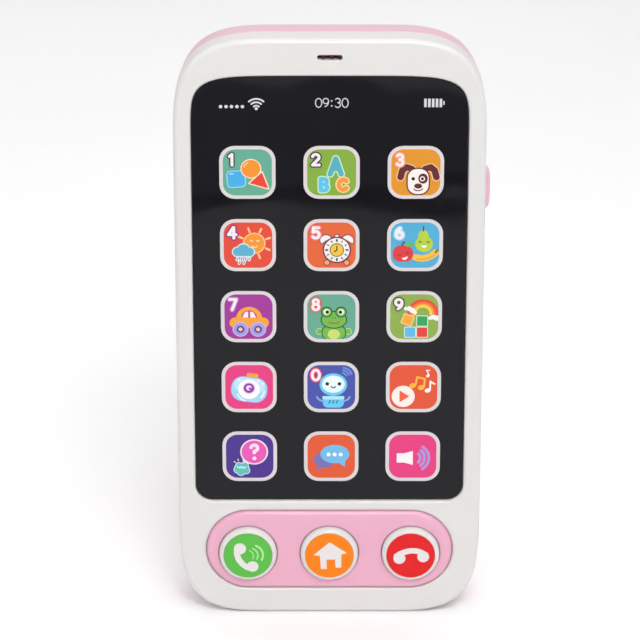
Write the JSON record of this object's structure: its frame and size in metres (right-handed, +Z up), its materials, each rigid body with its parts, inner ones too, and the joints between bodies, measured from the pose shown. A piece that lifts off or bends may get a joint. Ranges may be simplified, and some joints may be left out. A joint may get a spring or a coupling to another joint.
{
  "type": "toy cell phone",
  "caption": "Toy cell phone with a printed icon screen, round spring buttons, a side key, a lamp, a speaker and a screwed battery door.",
  "frame": {"origin": "middle of the flat foot of the upright phone, midway between its flat front rim and its flat back", "axes": "+X to the right of the screen, +Y out of the back, +Z up along the phone; the screen faces -Y"},
  "size_m": [0.0764, 0.0211, 0.1515],
  "materials": {
    "white_shell": "smooth moulded white ABS",
    "pink_shell": "smooth moulded pink ABS",
    "pink_pad": "smooth moulded pink ABS",
    "white_cap": "smooth moulded white ABS",
    "printed_film": "glossy printed film, black with coloured icons",
    "membrane_film": "translucent polyester sheet with printed tracks",
    "silicone": "grey moulded silicone rubber",
    "green_disc": "printed disc, green with a handset symbol",
    "orange_disc": "printed disc, orange with a house symbol",
    "red_disc": "printed disc, red with a handset symbol",
    "black_plastic": "moulded black plastic",
    "lamp_red": "clear red plastic",
    "circuit_board": "green glass-fibre circuit board",
    "epoxy": "poured black resin",
    "steel": "nickel-plated steel",
    "cone_paper": "pressed black diaphragm",
    "cell_jacket": "printed steel cell jacket",
    "red_wire": "red wire insulation",
    "black_wire": "black wire insulation",
    "white_wire": "white wire insulation"
  },
  "bodies": {
    "root": {"front_bezel": "white_shell", "rear_cover": "pink_shell", "case_screw_1": "steel", "case_screw_2": "steel", "case_screw_3": "steel", "case_screw_4": "steel", "screen_overlay": "printed_film", "membrane_upper_sheet": "membrane_film", "membrane_spacer": "membrane_film", "membrane_lower_sheet": "membrane_film", "membrane_tail": "membrane_film", "tail_connector": "black_plastic", "keypad_frame": "pink_pad", "contact_rubber": "silicone", "main_board": "circuit_board", "sound_chip": "epoxy", "board_capacitor": "black_plastic", "board_screw_1": "steel", "board_screw_2": "steel", "earpiece_grille": "black_plastic", "lamp_lens": "lamp_red", "indicator_led": "lamp_red", "lamp_board": "circuit_board", "side_switch": "black_plastic", "switch_board": "circuit_board", "speaker_basket": "steel", "speaker_cone": "cone_paper", "speaker_magnet": "steel", "speaker_clamp": "white_shell", "clamp_screw_1": "steel", "clamp_screw_2": "steel", "battery_1": "cell_jacket", "battery_2": "cell_jacket", "battery_3": "cell_jacket", "battery_spring_1": "steel", "battery_spring_2": "steel", "battery_spring_3": "steel", "terminal_positive": "steel", "bridge_upper": "steel", "bridge_lower": "steel", "terminal_negative": "steel", "battery_wire_black": "black_wire", "battery_wire_red": "red_wire", "speaker_wire_red": "red_wire", "speaker_wire_black": "black_wire", "lamp_wire": "white_wire", "switch_wire": "white_wire"},
    "call_key": {"call_button": "white_cap", "call_disc": "green_disc"},
    "home_key": {"home_button": "white_cap", "home_disc": "orange_disc"},
    "end_key": {"end_button": "white_cap", "end_disc": "red_disc"},
    "side_push_key": {"side_key": "pink_shell", "switch_plunger": "black_plastic"},
    "door": {"battery_door": "pink_shell"},
    "screw": {"door_screw": "steel"}
  },
  "joints": [
    {"name": "call_press", "type": "slide", "parent": "root", "child": "call_key", "axis": [0, 1, 0], "range_m": [0, 0.0012], "stiffness_N_per_m": 900, "springref_m": -0.0006, "deforming": ["contact_rubber"]},
    {"name": "home_press", "type": "slide", "parent": "root", "child": "home_key", "axis": [0, 1, 0], "range_m": [0, 0.0012], "stiffness_N_per_m": 900, "springref_m": -0.0006, "deforming": ["contact_rubber"]},
    {"name": "end_press", "type": "slide", "parent": "root", "child": "end_key", "axis": [0, 1, 0], "range_m": [0, 0.0012], "stiffness_N_per_m": 900, "springref_m": -0.0006, "deforming": ["contact_rubber"]},
    {"name": "side_press", "type": "slide", "parent": "root", "child": "side_push_key", "axis": [-1, 0, 0], "range_m": [0, 0.0009], "stiffness_N_per_m": 1200, "springref_m": -0.0006},
    {"name": "door_swing", "type": "hinge", "parent": "root", "child": "door", "pos_m": [0, 0.0095, 0.031], "axis": [-1, 0, 0], "range_deg": [0, 75]},
    {"name": "door_screw_turn", "type": "hinge", "parent": "door", "child": "screw", "pos_m": [0, 0.0089, 0.093], "axis": [0, 1, 0], "continuous": true}
  ]
}
